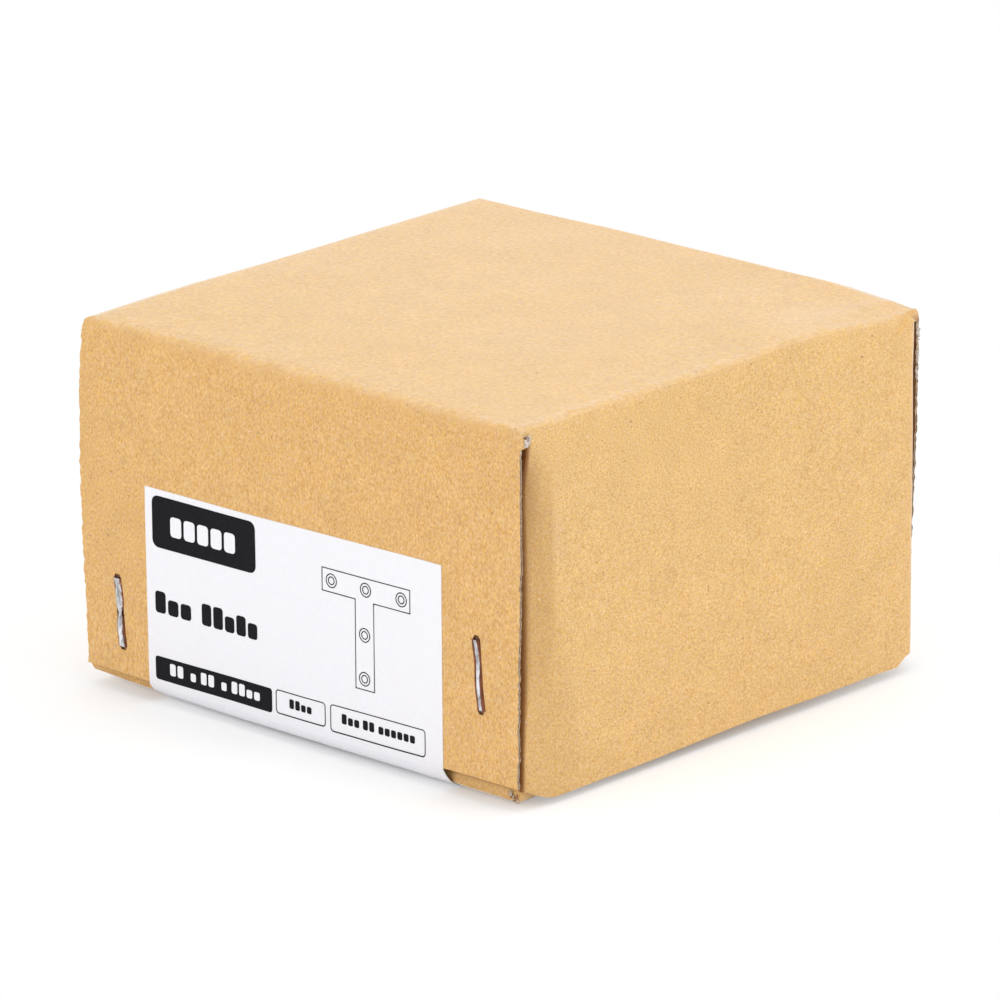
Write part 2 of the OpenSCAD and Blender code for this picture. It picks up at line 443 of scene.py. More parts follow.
# finishes of two tones with a noise between them: roughness and specular, scale, detail and
# roughness of the noise, where each tone is full, strength and depth of the bump
fuzzy = {"gloss": (0.95, 0.1), "noise": (2600, 5, 0.7), "full": (0.32, 0.68), "bump": (0.5, 0.15 * mm)}
darkBrown = {"gloss": (0.9, 0.1), "noise": (1300, 4, 0.7), "full": (0.35, 0.65), "bump": (0.4, 0.1 * mm)}
paper = {"gloss": (0.5, 0.4), "noise": (1900, 5, 0.65), "full": (0.3, 0.7), "bump": (0.06, 0.05 * mm)}
ink = {"gloss": (0.55, 0.06), "noise": (1500, 4, 0.7), "full": (0.3, 0.7), "bump": (0.05, 0.05 * mm)}


def makeTwoTone(name, finish, dark, pale):
    roughness, specular = finish["gloss"]
    material, tree, shader = newMaterial(name, roughness, specular=specular)
    spread = addNoise(tree, objectPlaces(tree), *finish["noise"])
    colour = addRamp(tree, spread, list(zip(finish["full"], (dark, pale))))
    tree.links.new(colour, shader.inputs["Base Color"])
    linkBump(tree, shader, spread, *finish["bump"])
    return material


kraftFace = makeKraft("kraftFace")
cutEdge = makeTwoTone("cutEdge", fuzzy, (0.26, 0.17, 0.10), (0.66, 0.53, 0.40))
tornFibre = makeTwoTone("tornFibre", fuzzy, (0.38, 0.31, 0.26), (0.82, 0.76, 0.71))
grooveBoard = makeTwoTone("grooveBoard", darkBrown, (0.19, 0.085, 0.045), (0.42, 0.22, 0.11))
stapleWire = makeWire("stapleWire")
labelPaper = makeTwoTone("labelPaper", paper, (0.785, 0.780, 0.815), (0.815, 0.810, 0.845))
blackInk = makeTwoTone("blackInk", ink, (0.008, 0.0075, 0.009), (0.013, 0.012, 0.014))
whiteInk = makeTwoTone("whiteInk", ink, (0.79, 0.785, 0.82), (0.82, 0.815, 0.85))
print("materials made")


# trays

def bendRows(tray):
    # where the side walls start to turn in, towards the front and towards the back
    reach = tray["deep"] / 2 - board["thick"] - board["leafGap"]
    return -(reach - tray["bendFront"]), reach - tray["bendBack"]


def foldTray(name, tray, extraX, extraZ):
    # an open box with rounded upper edges, whose side walls turn into tabs behind the front and back walls
    halfX, halfY = tray["wide"] / 2, tray["deep"] / 2
    foldLow = tray["high"] - tray["fold"]
    frontRow, backRow = bendRows(tray)
    piece = addBlock(name, (-halfX, -halfY, tray["sideEdge"]), (halfX, halfY, tray["high"]))
    startEdit(piece)
    pick("FACE", lambda f: f.normal.z < -0.5)
    bpy.ops.mesh.delete(type="FACE")
    pick("EDGE", lambda e: middle(e).z > tray["high"] - tiny)
    bpy.ops.mesh.bevel(offset=tray["fold"], segments=board["foldSteps"], profile=0.5, affect="EDGES")
    sliceAlong(1, (frontRow, backRow))
    sliceAlong(2, (foldLow,))
    pick("FACE", lambda f: abs(f.normal.x) > 0.9 and f.calc_center_median().z < foldLow
         and not frontRow < f.calc_center_median().y < backRow)
    bpy.ops.mesh.delete(type="FACE")
    if tray["frontEdge"] > tray["sideEdge"]:
        sliceAlong(2, (tray["frontEdge"],))
        pick("FACE", lambda f: abs(f.normal.y) > 0.9 and f.calc_center_median().z < tray["frontEdge"])
        bpy.ops.mesh.delete(type="FACE")
    bendSteps = board["bendSteps"]
    for sideX in (-1, 1):
        for sideY, row, radius in ((-1, frontRow, tray["bendFront"]), (1, backRow, tray["bendBack"])):
            def atWallEnd(edge):
                spot = middle(edge)
                atRow = abs(spot.x - sideX * halfX) < tiny and abs(spot.y - row) < tiny
                return atRow and spot.z < foldLow
            pick("EDGE", atWallEnd)
            bpy.ops.mesh.spin(steps=bendSteps, angle=-sideX * sideY * math.pi / 2, axis=(0, 0, 1),
                              center=(sideX * (halfX - radius), row, 0))
            push(-sideX * board["tab"], 0, 0)
    mergeAll(tiny)
    for step in range(1, bendSteps + 1):
        part = math.sin(step / bendSteps * math.pi / 2)
        sliceAlong(1, (frontRow - tray["bendFront"] * part, backRow + tray["bendBack"] * part))
    innerX = halfX - tray["fold"]
    sliceAlong(0, sorted(evenPlaces(-innerX, innerX, board["grid"]) + extraX))
    sliceAlong(1, evenPlaces(frontRow, backRow, board["grid"]))
    sliceAlong(1, [row - halfY for row in board["creaseRows"]] + [halfY - board["creaseRows"][0]])
    sliceAlong(2, sorted(evenPlaces(tray["frontEdge"], foldLow, board["grid"]) + extraZ))
    # more points along the upright cut edges
    bandX = halfX - board["edgeBand"]
    sliceAlong(0, (-bandX, bandX))
    for place in evenPlaces(tray["frontEdge"], foldLow, board["rough"]):
        pick("FACE", lambda f: abs(f.normal.y) > 0.9 and abs(f.calc_center_median().x) > bandX
             and abs(f.calc_center_median().y) > halfY - slight)
        bpy.ops.mesh.bisect(plane_co=(0, 0, place), plane_no=(0, 0, 1))
    endEdit()
    return piece


def shapeCorners(piece, tray):
    # closes the bends towards the top fold and lifts the side walls' lower edge towards their free corners
    halfX = tray["wide"] / 2
    bendTop = tray["high"] - tray["fold"]
    frontRow, backRow = bendRows(tray)
    tabPlane = tray["deep"] / 2 - board["thick"] - board["leafGap"] / 2
    for point in piece.data.vertices:
        place = point.co
        if abs(place.y) > tabPlane or place.z > bendTop + tiny:
            continue
        atFront = place.y < 0
        radius = tray["bendFront"] if atFront else tray["bendBack"]
        relief = tray["reliefFront"] if atFront else tray["reliefBack"]
        past = frontRow - place.y if atFront else place.y - backRow
        inward = halfX - abs(place.x)
        if past > -tiny / 10 and inward > tiny / 10:
            shut = ramp(place.z, bendTop - board["bendShut"], bendTop) * (1.0 if atFront else 0.4)
            if inward < radius + tiny / 10:
                drawn = inward * shut
            else:
                drawn = radius * shut * max(0.0, 1 - (inward - radius) / board["tab"])
            place.x += drawn * (1 if place.x > 0 else -1)
        if past > -relief["long"] and inward < radius + board["tab"] + tiny:
            share = min(1.0, (past + relief["long"]) / relief["long"])
            lift = relief["high"] * share
            if past > 0:
                lift += (tray["frontEdge"] - tray["sideEdge"]) * ramp(inward, radius * 0.6, radius + 1 * mm)
            fadeTop = tray["sideEdge"] + board["reliefFade"]
            place.z += lift * (1 - ramp(place.z, tray["sideEdge"], fadeTop))
    startEdit(piece)
    mergeAll(slight)
    endEdit()


def crushEdges(piece, tray):
    # the upright cut edges of the front and back walls are pressed thinner
    halfX, halfY = tray["wide"] / 2, tray["deep"] / 2
    innerFace = halfY - board["thick"]
    for point in piece.data.vertices:
        place = point.co
        if abs(abs(place.y) - innerFace) < slight and place.z < tray["high"] - tray["fold"] + slight:
            press = board["crush"] * ramp(abs(place.x), halfX - board["crushLong"], halfX - 0.2 * mm)
            place.y += press * (1 if place.y > 0 else -1)


def openFlutes(piece, tray):
    # hollows the upright cut edges of the front and back walls between their liners
    halfX, halfY = tray["wide"] / 2, tray["deep"] / 2
    startEdit(piece)
    for sideX in (-1, 1):
        for sideY in (-1, 1):
            def onCutEdge(face):
                spot = face.calc_center_median()
                return (face.normal.x * sideX > 0.9 and abs(spot.x - sideX * halfX) < slight
                        and spot.y * sideY > halfY - board["thick"])
            pick("FACE", onCutEdge)
            bpy.ops.mesh.inset(thickness=board["liner"], depth=0, use_even_offset=True)
            push(-sideX * board["fluteDeep"], 0, 0)
    endEdit()


cutWear = {
    "waves": 420,              # per metre along the edge
    "broad": 0.12 * mm,
    "fine": 0.30 * mm,
    "torn": 0.3 * mm,
    "tornFrom": 30 * mm,
    "tornTo": 45 * mm,
}


def roughen(piece, tray):
    # the upright cut edges are not straight, and the upper part of the right back one is torn
    halfX, halfY = tray["wide"] / 2, tray["deep"] / 2
    for point in piece.data.vertices:
        place = point.co
        if abs(place.x) < halfX - 0.06 * mm or abs(place.y) < halfY - board["thick"] - slight:
            continue
        if place.z > tray["high"] - tray["fold"] - 0.3 * mm:
            continue
        side = 1 if place.x > 0 else -1
        seed = Vector((side * 3.7, 9.1 if place.y > 0 else 2.3, place.z * cutWear["waves"]))
        wander = cutWear["broad"] * noise.noise(seed) + cutWear["fine"] * noise.noise(seed * 2.9)
        if place.x > 0 and place.y > 0:
            tear = ramp(place.z, cutWear["tornFrom"], cutWear["tornTo"])
            wander += cutWear["torn"] * max(0.0, noise.noise(seed * 0.6)) * tear
        place.x += side * wander


def waveStrips(name, tray):
    # wavy sheets that show between the liners at the upright cut edges
    foldLow = tray["high"] - tray["fold"]
    edge = board["thick"] - board["crush"]
    swing = (edge - 2 * board["liner"] - board["medium"]) / 2
    low, high = tray["frontEdge"] + board["liner"], foldLow - board["liner"]
    strips = []
    for sideX in (-1, 1):
        for sideY in (-1, 1):
            end = sideX * (tray["wide"] / 2 - 0.05 * mm)
            start = end - sideX * board["fluteDeep"]
            centre = sideY * (tray["deep"] / 2 - edge / 2)
            strip = addUprightSheet(name, min(start, end), max(start, end), centre, low, high)
            startEdit(strip)
            sliceAlong(2, evenPlaces(low, high, board["flutePitch"] / 8))
            endEdit()
            for point in strip.data.vertices:
                turn = 2 * math.pi * (point.co.z - low) / board["flutePitch"]
                turn += 1.2 * noise.noise(Vector((sideX * 3.1, sideY * 5.7, point.co.z * 90)))
                point.co.y += swing * math.sin(turn)
                if abs(point.co.x - end) < tiny:
                    frayed = noise.noise(Vector((sideX, sideY, point.co.z * 1500)))
                    point.co.x += sideX * 0.2 * frayed * mm
            giveThickness(strip, board["medium"], 0)
            strips.append(strip)
    piece = joinPieces(name, strips)
    piece.data.materials.append(cutEdge)
    return piece


def makeTray(name, tray, extraX, extraZ, materials):
    piece = foldTray(name, tray, extraX, extraZ)
    shapeCorners(piece, tray)
    for material in materials:
        piece.data.materials.append(material)
    giveThickness(piece, board["thick"], -1, rimSlot=1)
    crushEdges(piece, tray)
    openFlutes(piece, tray)
    roughen(piece, tray)
    return piece


staple = {
    "long": 12.4 * mm,
    "wide": 1.6 * mm,
    "thick": 0.64 * mm,
    "round": 0.30 * mm,        # of the wire's own edges
    "sink": 0.36 * mm,         # how deep the crown lies in the board
    "bend": 0.12 * mm,         # inside radius
    "tail": 4.5 * mm,
    "clinch": 0.35 * mm,       # how deep the tails lie in the board
    "wave": 0.10 * mm,         # of the crown, from side to side
    "crownSteps": 20,
    "groove": {"wide": 1.6 * mm, "long": 12.2 * mm, "deep": 0.42 * mm, "taper": 0.6 * mm},
    # middle x and height on the lid's front, lean over its length, pinch of the crown, share of the
    # crown that it reaches, twist there in degrees, where along the crown it lies, strength of the sides'
    # rust stain and painted reflection
    "spots": [
        {"x": -38.20 * mm, "z": 13.3 * mm, "lean": 0.9 * mm, "pinch": 0.66,
         "reach": 0.26, "twist": 30, "knot": -0.02, "rustAndReflection": 0.8},
        {"x": 37.45 * mm, "z": 20.1 * mm, "lean": 1.1 * mm, "pinch": 0.15,
         "reach": 0.7, "twist": 20, "knot": 0.30, "rustAndReflection": 1.45},
    ],
}


def sinkStaples(piece, tray):
    # presses a narrow groove into the front and back walls where each staple lies, leaning with it
    groove = staple["groove"]
    halfY = tray["deep"] / 2
    for spot in staple["spots"]:
        for sideY in (-1, 1):
            def underStaple(face):
                place = face.calc_center_median()
                return (face.normal.y * sideY > 0.9 and place.y * sideY > halfY - slight
                        and abs(place.x + spot["x"] * sideY) < groove["wide"] / 2
                        and abs(place.z - spot["z"]) < groove["long"] / 2)
            startEdit(piece)
            pick("FACE", underStaple)
            push(0, -sideY * groove["deep"], 0)
            endEdit()
            for point in piece.data.vertices:
                place = point.co
                high = place.z - spot["z"]
                near = abs(place.x + spot["x"] * sideY) < groove["wide"] / 2 + tiny
                if not near or place.y * sideY < halfY - board["thick"] / 2:
                    continue
                end = groove["long"] / 2
                if abs(high) < end + tiny:
                    narrow = 0.45 * ramp(abs(high), end - groove["taper"], end)
                    place.x -= narrow * (place.x + spot["x"] * sideY)
                    place.x += sideY * spot["lean"] * high / staple["long"]


def grooveLines():
    groove = staple["groove"]
    xs, zs = [], []
    for spot in staple["spots"]:
        for side in (-1, 1):
            xs += [spot["x"] + side * groove["wide"] / 2, -spot["x"] + side * groove["wide"] / 2]
            zs.append(spot["z"] + side * groove["long"] / 2)
            zs.append(spot["z"] + side * (groove["long"] / 2 - groove["taper"] / 2))
            zs.append(spot["z"] + side * (groove["long"] / 2 - groove["taper"]))
    return xs, zs


def assignGrooves(piece, tray, slotIndex):
    # gives the grooves their darker board
    groove = staple["groove"]
    halfY = tray["deep"] / 2
    for face in piece.data.polygons:
        place = face.center
        for spot in staple["spots"]:
            sideY = 1 if place.y > 0 else -1
            inside = (abs(place.x + spot["x"] * sideY) < groove["wide"] / 2 + 0.7 * mm
                      and abs(place.z - spot["z"]) < groove["long"] / 2 + slight)
            if inside and halfY - 0.7 * mm < abs(place.y) < halfY - 0.05 * mm:
                face.material_index = slotIndex


stapleX, stapleZ = grooveLines()
lidTray = makeTray("lidTray", lid, stapleX, stapleZ, (kraftFace, cutEdge, grooveBoard))
sinkStaples(lidTray, lid)
assignGrooves(lidTray, lid, 2)
lidFlutes = waveStrips("lidFlutes", lid)
print("lid folded:", len(lidTray.data.polygons), "faces")

baseTray = makeTray("baseTray", base, [], [base["high"] - base["seamRow"]], (kraftFace, cutEdge))
baseFlutes = waveStrips("baseFlutes", base)
for piece in (baseTray, baseFlutes):
    # the base is the same tray the other way up
    piece.data.transform(Matrix.Translation((0, 0, base["high"])) @ Matrix.Scale(-1, 4, (0, 0, 1)))
    startEdit(piece)
    selectAll()
    bpy.ops.mesh.flip_normals()
    endEdit()
print("base folded:", len(baseTray.data.polygons), "faces")


# how the handled carton departs from its nominal folds

lidWear = {
    "uneven": 0.12 * mm,          # fine and broad unevenness of the board
    "swell": 0.22 * mm,
    "backLean": 2.0 * mm,
    "backLeanLeft": 1.2 * mm,     # added towards the left
    "backSag": 0.66 * mm,         # back edge of the top, towards the right
    "backSagRight": 0.85 * mm,    # added further right
    "backSagCorner": 0.8 * mm,    # added at the corner
    "edgeSag": 0.35 * mm,         # front and right edges of the top
    "tightFront": 0.5,            # folds, 0 for a round one and 1 for a square one
    "tightLeft": 0.6,
    "tightRight": 0.9,
    "tightBackRight": 0.6,
    "slotLift": 1.7 * mm,
    "leftLean": 0.7 * mm,
    "frontCut": 1.0 * mm,         # right ends that are cut back
    "foldCut": 1.9 * mm,
    "backCut": 2.0 * mm,
    "backCutLow": 1.2 * mm,       # added towards the bottom
    "dipRight": 1.9 * mm,
    "dipLeft": 0.4 * mm,
    "bendForward": 1.0 * mm,
    "frontRise": 0.5 * mm,
    "bowMiddle": 0.6 * mm,        # of the right wall's lower edge
    "bowFront": 0.35 * mm,
    "bowBack": 0.3 * mm,
    "ridgeRow": 7.8 * mm,         # painted highlight on the ridge by the right front corner, how far behind the front
    "ridgeWide": 0.8 * mm,
    "ridgeMiddle": 43 * mm,
    "ridgeLong": 7 * mm,
}
baseWear = {
    "uneven": 0.10 * mm,
    "bulge": 1.3 * mm,
    "bulgeMore": 0.8 * mm,        # added away from the left end
    "bulgeLess": 0.4 * mm,        # taken off behind the label
    "spreadRight": 0.5 * mm,
    "spreadLeft": 1.4 * mm,
    "tight": 0.75,
    "tightLeft": 0.2,             # added towards the left corner
    "endCut": 3.2 * mm,
    "cornerWorn": 1.5 * mm,
    "pressed": 0.15 * mm,
}
# strengths of the painted shade in the creases and beside them
creaseShade = {
    "row": 2.3 * mm,              # how far behind the outside the crease is deepest
    "walls": 0.7,                 # on the inside of the walls' ends
    "dip": 0.18,                  # the rest is by the right front corner
    "deep": 0.42,
    "deepTop": 0.2,               # added towards the top
    "broad": 0.11,
}


def shares(place):
    # -1 to 1 from left to right and from front to back, 0 to 1 from the floor to the top
    return 2 * place.x / lid["wide"], 2 * place.y / lid["deep"], place.z / lid["high"]


def creaseEnds(place):
    # 1 at the lower end of the upright creases, and 1 at their upper end
    low = 1 - ramp(place.z, 8 * mm, 26 * mm)
    high = ramp(place.z, lid["high"] - 15 * mm, lid["high"] - 5 * mm)
    return low, high


def backLean(place):
    # the top of the back leans in, more to the left, and the top panel ends with it
    u, v, h = shares(place)
    lean = lidWear["backLean"] + lidWear["backLeanLeft"] * ramp(-u, 0.2, 1)
    return lean * (1 - ramp(u, 0.1, 0.8)) * ramp(h, 0.5, 1.0) * ramp(v, 0.3, 1)


def topSag(place):
    # the back edge of the top sags towards the right, the front and right edges sag a little
    u, v, h = shares(place)
    sag = lidWear["backSag"] * ramp(u, 0.1, 0.8)
    sag += lidWear["backSagRight"] * ramp(u, 0.55, 0.85)
    sag += lidWear["backSagCorner"] * ramp(u, 0.85, 1)
    sag *= ramp(v, 0.3, 1)
    front = ramp(-v, 0.5, 0.98)
    right = ramp(u, 0.5, 0.98)
    edge = max(front, right * (1 - ramp(v, 0, 0.5))) * (1 - 0.7 * front * right)
    return (sag + lidWear["edgeSag"] * edge) * ramp(h, 0.72, 1.0)


def tightFold(place):
    # the right fold is tighter than the front one, the left one tight only towards the front, all unevenly
    front = ramp(-place.y, 30 * mm, 42 * mm)
    right = ramp(place.x, 30 * mm, 42 * mm)
    left = ramp(-place.x, 30 * mm, 42 * mm) * ramp(-place.y, 0, 40 * mm)
    backRight = ramp(place.x, 18 * mm, 36 * mm) * ramp(place.y, 8 * mm, 36 * mm)
    looser = (lidWear["tightRight"] - lidWear["tightBackRight"]) * backRight
    tight = max(lidWear["tightFront"] * front, lidWear["tightLeft"] * left,
                (lidWear["tightRight"] - looser) * right, lidWear["tightBackRight"] * backRight)
    patch = max(0.0, noise.noise(Vector((place.x * 130, place.y * 130, 3))))
    tight *= 1 - 0.5 * patch * (1 - backRight)
    past = [abs(place.x) - lid["wide"] / 2 + lid["fold"], abs(place.y) - lid["deep"] / 2 + lid["fold"]]
    up = place.z - lid["high"] + lid["fold"]
    out = max(past)
    if tight == 0 or out <= 0 or up <= 0:
        return Vector((0, 0, 0))
    grow = (math.hypot(out, up) / max(out, up)) ** tight - 1
    aside = [max(0.0, far) * grow for far in past]
    return Vector((math.copysign(aside[0], place.x), math.copysign(aside[1], place.y), up * grow))


def lidShift(place):
    u, v, h = shares(place)
    shift = noise.noise_vector(place * 55) * lidWear["uneven"]
    shift += noise.noise_vector(place * 24) * lidWear["swell"]
    shift += tightFold(place)
    shift.y -= backLean(place)
    shift.z -= topSag(place)
    # the right back slot starts higher than the others
    lift = ramp(place.x, 41 * mm, 45 * mm) * ramp(place.y, 39 * mm, 43.5 * mm)
    lift *= ramp(place.z, 50 * mm, 57 * mm) * (1 - ramp(place.z, 57.2 * mm, 60 * mm))
    shift.z += lidWear["slotLift"] * lift
    # the left side leans in at the top and at the bottom
    shift.x += lidWear["leftLean"] * ramp(-u, 0.7, 1) * (ramp(h, 0.8, 1) + 1 - ramp(h, 0.1, 0.5))
    # the right ends of the front wall, of the back fold and of the back wall are cut back
    underFold = place.z < lid["high"] - lid["fold"] + slight
    if place.y < board["wallReach"] - lid["deep"] / 2:
        shift.x -= lidWear["frontCut"] * ramp(u, 0.75, 1) * (1 - h)
    elif not underFold:
        shift.x -= lidWear["foldCut"] * ramp(u, 0.8, 1) * ramp(v, 0.8, 0.97)
    elif place.y > lid["deep"] / 2 - board["wallReach"]:
        cut = lidWear["backCut"] + lidWear["backCutLow"] * (1 - ramp(h, 0.1, 0.85))
        shift.x -= cut * ramp(u, 0.8, 1)
    # next to the front wall's cut edge each side wall dips in from a soft ridge
    elif abs(u) > 0.6 and v < -0.6:
        low, high = creaseEnds(place)
        dip = min(1.0, max(0.0, (-place.y - lid["deep"] / 2 + 8.0 * mm) / (5.9 * mm)))
        dip *= 1 - ramp(place.z, lid["high"] - 14 * mm, lid["high"] - 3 * mm)
        dip *= 1 - 0.55 * low
        shift.x -= lidWear["dipRight"] * ramp(u, 0.6, 0.8) * dip
        shift.x += lidWear["dipLeft"] * ramp(-u, 0.6, 0.8) * dip
        # at the top and the bottom the bend lies close behind the cut edge
        near = max(low, high) * (0.6 + 0.4 * low)
        shift.y -= lidWear["bendForward"] * near * ramp(abs(u), 0.92, 0.96) * ramp(-v, 0.85, 0.93)
    # the front's lower edge rises right of the label
    rise = ramp(u, 0.3, 0.8) * ramp(-v, 0.9, 1) * (1 - ramp(h, 0.05, 0.2))
    shift.z += lidWear["frontRise"] * rise
    # the right wall's lower edge is a little bowed
    bow = lidWear["bowMiddle"] * ramp(v, -0.5, 0.2)
    bow -= lidWear["bowFront"] * ramp(v, -0.97, -0.85) + lidWear["bowBack"] * ramp(v, 0.7, 0.9)
    shift.z += bow * ramp(u, 0.8, 0.95) * (1 - ramp(h, 0, 0.25))
    return shift


def baseShift(place):
    u = 2 * place.x / base["wide"]
    shift = noise.noise_vector(place * 55 + Vector((7, 3, 1))) * baseWear["uneven"]
    shift.y -= backLean(place)
    shift.z -= topSag(place)
    # the front's lower fold bulges out under the lid's edge and spreads at its ends
    low = 1 - ramp(place.z, 2.6 * mm, 4.6 * mm)
    forward = ramp(-place.y, base["deep"] / 2 - 7 * mm, base["deep"] / 2 - 2 * mm)
    bulge = baseWear["bulge"] + baseWear["bulgeMore"] * ramp(1 + u, 0.15, 0.5)
    bulge -= baseWear["bulgeLess"] * ramp(labelHigh.x - abs(place.x), 0, 3 * mm)
    spread = baseWear["spreadRight"] * ramp(u, 0.85, 1) - baseWear["spreadLeft"] * ramp(-u, 0.85, 1)
    shift.y -= bulge * low * forward
    shift.x += spread * low * forward
    # and is tighter than the others, with a square left corner
    past = -place.y - base["deep"] / 2 + base["fold"]
    below = base["fold"] - place.z
    left = max(0.0, base["fold"] - place.x - base["wide"] / 2)
    if past > 0 and below > 0:
        tight = baseWear["tight"] + baseWear["tightLeft"] * ramp(-place.x, 32 * mm, 34 * mm)
        grow = (math.hypot(past, below, left) / max(past, below, left)) ** tight - 1
        shift -= Vector((left, past, below)) * grow
    # above the lid's edge the front wall's ends are cut back, clear of the lid's dips
    if place.y < board["wallReach"] - base["deep"] / 2:
        shift.x -= math.copysign(baseWear["endCut"], u) * (1 - low) * ramp(abs(u), 0.8, 1)
    # the bottom stays flat on the floor
    shift.z = max(shift.z, -place.z) * ramp(place.z, 0, 3 * mm)
    # the lower left corner is worn round, up to the lid's edge
    shift.z += baseWear["cornerWorn"] * low * forward * ramp(-place.x, 37 * mm, 47 * mm)
    # the bottom is pressed in where the label's flap lies
    under = ramp(-place.y, 22 * mm, 26 * mm) * ramp(labelHigh.x + 2 * mm - place.x, 0, 2 * mm)
    under *= ramp(place.x - labelLow.x + 2 * mm, 0, 2 * mm)
    shift.z += baseWear["pressed"] * under * (1 - ramp(place.z, 0.5 * mm, 4 * mm))
    return shift


def markWearAndHighlight(piece):
    # 1 along the upper half of the lid's front and right folds, for their wear and painted highlight, and
    # on the ridge by the right front corner, for its painted highlight
    halfX, halfY = lid["wide"] / 2 - lid["fold"], lid["deep"] / 2 - lid["fold"]
    mark = piece.data.attributes.new("wearAndHighlight", "FLOAT", "POINT")
    for point, spot in zip(piece.data.vertices, mark.data):
        place = point.co
        out = max(-place.y - halfY, place.x - halfX)
        up = place.z - lid["high"] + lid["fold"]
        if out > 0 and up > 0:
            angle = math.degrees(math.atan2(out, up))
            spot.value = ramp(angle, 0, 15) * (1 - ramp(angle, 40, 60))
        elif place.x > 0:
            across = (place.y + lid["deep"] / 2 - lidWear["ridgeRow"]) / lidWear["ridgeWide"]
            along = (place.z - lidWear["ridgeMiddle"]) / lidWear["ridgeLong"]
            spot.value = 0.9 * math.exp(-across ** 2 - along ** 2)


def markPaintedShade(piece):
    # painted shade: 1 deep in the upright creases behind the front and back walls' cut edges, less in the
    # dip beside them
    halfX, halfY = lid["wide"] / 2, lid["deep"] / 2
    row = creaseShade["row"]
    mark = piece.data.attributes.new("paintedShade", "FLOAT", "POINT")
    for point, spot in zip(piece.data.vertices, mark.data):
        place = point.co
        if place.z > lid["high"] - lid["fold"] + slight or abs(place.y) > halfY - 0.3 * mm:
            continue
        if abs(place.y) > halfY - board["wallReach"]:
            spot.value = creaseShade["walls"] * ramp(abs(place.x), halfX - 8 * mm, halfX - 5 * mm)
            continue
        low, high = creaseEnds(place)
        start = (3.7 - 0.5 * high - 0.9 * low) * mm
        spot.value = ramp(abs(place.y), halfY - start, halfY - row)
        if place.x > 0 and place.y < 0:
            behind = place.y + halfY
            dip = creaseShade["dip"] * (1 - ramp(behind, 6.4 * mm, 8.0 * mm))
            dip *= (1 - 0.6 * low) * (1 - 0.8 * high)
            deep = creaseShade["deep"] + creaseShade["deepTop"] * ramp(place.z, 40 * mm, 50 * mm)
            deep *= max(0.0, 1 - (behind - row) / (4 * mm))
            deep *= ramp(place.z, 24 * mm, 44 * mm) * (1 - ramp(place.z, 53 * mm, 57 * mm))
            broad = creaseShade["broad"] * (1 - ramp(behind, 10.5 * mm, 13 * mm))
            broad *= 1 - ramp(place.z, 18 * mm, 28 * mm)
            spot.value = max(spot.value, dip, deep, broad)


labelLow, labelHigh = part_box("label")
markPaintedShade(lidTray)
markWearAndHighlight(lidTray)
for piece in (lidTray, lidFlutes):
    warp(piece, lidShift)
for piece in (baseTray, baseFlutes):
    warp(piece, baseShift)
for piece, degrees in ((lidTray, 40), (baseTray, 40), (lidFlutes, 60), (baseFlutes, 60)):
    smooth(piece, degrees)


# shreds where the board is torn

torn = {
    "thick": 0.07 * mm,
    "crumple": 0.28 * mm,
    # middle in mm, width, height, degrees turned about z, degrees leaning back, material
    "shreds": [
        (45.95, -45.40, 58.0, 0.5, 1.4, 50, 15, grooveBoard),
        (46.10, -45.45, 57.8, 0.6, 1.3, 55, 10, tornFibre),
        (46.05, -44.85, 58.2, 0.8, 1.4, 70, 18, tornFibre),
        (46.00, -45.25, 58.6, 0.8, 0.8, 50, 28, cutEdge),
        (46.15, -44.95, 57.7, 0.5, 1.0, 60, 5, tornFibre),
        (46.10, -45.10, 58.3, 0.4, 1.1, 40, 12, cutEdge),
        (42.70, -44.75, 1.8, 1.2, 0.8, 25, -10, grooveBoard),
        (42.10, -44.80, 2.2, 0.6, 0.9, 20, -10, cutEdge),
        (42.75, -44.80, 1.5, 0.4, 0.9, 40, 0, cutEdge),
        (43.30, -44.70, 1.7, 0.5, 1.1, 50, 10, grooveBoard),
        (43.45, -44.75, 1.2, 0.4, 0.7, 45, 0, cutEdge),
        (44.30, 45.80, 55.6, 0.4, 2.2, 50, 0, cutEdge),
        (44.50, 45.85, 54.0, 0.5, 1.4, 45, 5, tornFibre),
        (44.35, 45.85, 51.6, 0.4, 2.6, 55, -4, cutEdge),
        (44.40, 45.85, 50.2, 0.4, 1.6, 50, 3, tornFibre),
        (44.20, 45.90, 47.6, 0.35, 1.8, 45, 0, tornFibre),
    ],
}


def tearShred(shred):
    x, y, z, wide, high, turn, lean, material = shred
    piece = addUprightSheet("shred", -wide / 2 * mm, wide / 2 * mm, 0, -high / 2 * mm, high / 2 * mm)
    startEdit(piece)
    selectAll()
    bpy.ops.mesh.subdivide(number_cuts=5)
    endEdit()
    warp(piece, lambda place: noise.noise_vector(place * 1100 + Vector((x, y, z)) * 3) * torn["crumple"])
    giveThickness(piece, torn["thick"], 0)
    turned = Matrix.Rotation(math.radians(turn), 4, "Z")
    lying = turned @ Matrix.Rotation(math.radians(lean), 4, "X")
    piece.data.transform(Matrix.Translation(Vector((x, y, z)) * mm) @ lying)
    piece.data.materials.append(material)
    return piece


tornShreds = joinPieces("tornShreds", [tearShred(shred) for shred in torn["shreds"]])
smooth(tornShreds, 60)


# staples

